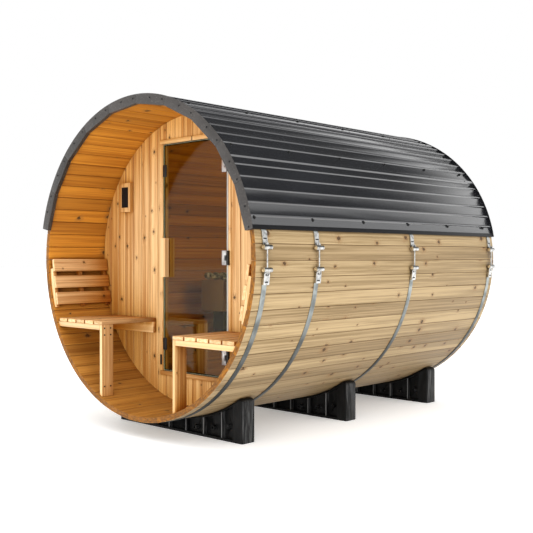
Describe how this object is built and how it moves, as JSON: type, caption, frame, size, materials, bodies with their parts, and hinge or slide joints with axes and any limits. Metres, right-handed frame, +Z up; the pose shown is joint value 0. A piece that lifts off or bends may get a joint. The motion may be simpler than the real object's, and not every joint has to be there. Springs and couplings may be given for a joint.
{
  "type": "barrel sauna",
  "caption": "Round barrel sauna of wooden staves with steel hoops, a curved ribbed metal roof, an open porch with benches and a hinged glass door, on moulded cradles.",
  "frame": {"origin": "on the ground under the barrel's axis, at the middle of the middle cradle's underside", "axes": "+Z up, +Y along the barrel's axis from the porch to the rear wall, +X to the right seen from the porch"},
  "size_m": [1.8597, 2.433, 1.9409],
  "materials": {
    "stave_wood": "pale knotty softwood",
    "wall_wood": "knotty boards",
    "bench_wood": "planed boards",
    "roof_metal": "dark grey satin paint",
    "steel": "bare steel band",
    "hinge_steel": "satin",
    "black_metal": "black satin",
    "black_plastic": "moulded black",
    "tinted_glass": "bronze tint",
    "heater_metal": "dark satin",
    "stone": "rough stone"
  },
  "bodies": {
    "cabin": {"cradle_front": "black_plastic", "cradle_middle": "black_plastic", "cradle_rear": "black_plastic", "door_head": "wall_wood", "door_jambs": "wall_wood", "door_threshold": "wall_wood", "eave_strips": "roof_metal", "heater_box": "heater_metal", "heater_plinth": "heater_metal", "heater_stones": "stone", "hinge_blocks": "black_metal", "hoops": "steel", "inner_frame": "bench_wood", "inner_seat": "bench_wood", "latch_plate": "black_metal", "porch_back_left": "bench_wood", "porch_back_right": "bench_wood", "porch_frame_left": "bench_wood", "porch_frame_right": "bench_wood", "porch_seat_left": "bench_wood", "porch_seat_right": "bench_wood", "roof_left": "roof_metal", "roof_right": "roof_metal", "staves_high_left": "stave_wood", "staves_high_right": "stave_wood", "staves_low_left": "stave_wood", "staves_low_right": "stave_wood", "tensioners": "steel", "trim_front": "roof_metal", "trim_rear": "roof_metal", "vent_frame": "wall_wood", "vent_grille": "black_metal", "wall_front_left": "wall_wood", "wall_front_over": "wall_wood", "wall_front_right": "wall_wood", "wall_front_sill": "wall_wood", "wall_rear": "wall_wood"},
    "door": {"door_glass": "tinted_glass", "door_handles": "bench_wood", "hinge_plates": "hinge_steel", "door_catches": "black_metal"}
  },
  "joints": [
    {"name": "door_hinge", "type": "hinge", "parent": "cabin", "child": "door", "pos_m": [0.28915, -0.87036, 1.024], "axis": [0, 0, 1], "range_deg": [0, 90]}
  ]
}
